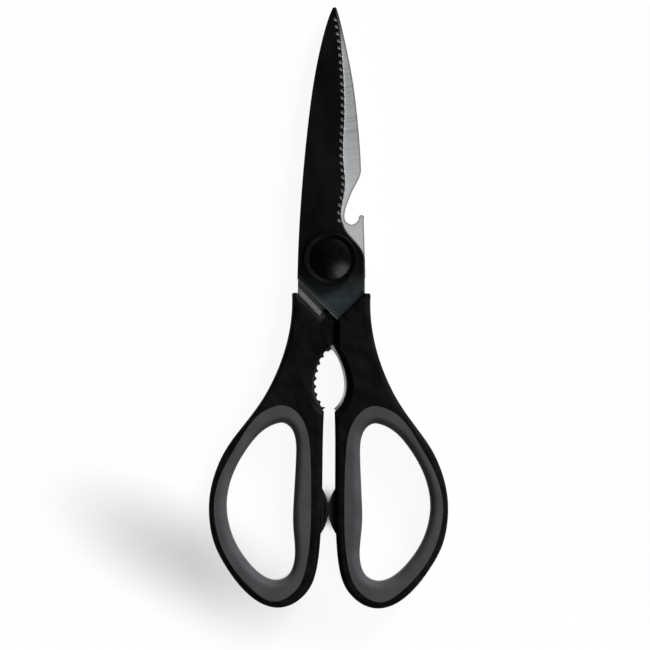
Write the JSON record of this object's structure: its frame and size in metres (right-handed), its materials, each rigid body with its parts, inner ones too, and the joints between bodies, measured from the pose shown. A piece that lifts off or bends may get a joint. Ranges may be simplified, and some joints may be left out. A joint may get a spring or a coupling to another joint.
{
  "type": "kitchen shears",
  "caption": "Kitchen shears lying closed, with a fluted black blade over a steel blade with a bottle opener, a nutcracker jaw and two padded finger loops.",
  "frame": {"origin": "the pivot's axis on the plane that the closed shears lie on, at the flat of the back cap", "axes": "+Y towards the blade tips, +Z out of the side with the front blade, +X towards the back blade's bottle opener"},
  "size_m": [0.0876, 0.2202, 0.011],
  "materials": {
    "black_steel": "satin",
    "bare_steel": "brushed",
    "black_plastic": "satin",
    "grey_rubber": "matte",
    "dark_rubber": "matte",
    "gloss_black": "gloss"
  },
  "bodies": {
    "back_half": {"back_blade": "bare_steel", "left_handle": "black_plastic", "left_grip": "grey_rubber", "left_stop_pad": "dark_rubber"},
    "front_half": {"front_blade": "black_steel", "right_handle": "black_plastic", "right_grip": "grey_rubber", "right_stop_pad": "dark_rubber", "pivot_bolt": "bare_steel", "blade_washer": "bare_steel", "spring_washer": "bare_steel", "pivot_nut": "bare_steel", "front_collar": "gloss_black", "front_cap": "gloss_black", "back_collar": "gloss_black", "back_cap": "gloss_black"}
  },
  "joints": [
    {"name": "pivot", "type": "hinge", "parent": "back_half", "child": "front_half", "pos_m": [0, 0, 0], "axis": [0, 0, 1], "range_deg": [0, 85]}
  ]
}
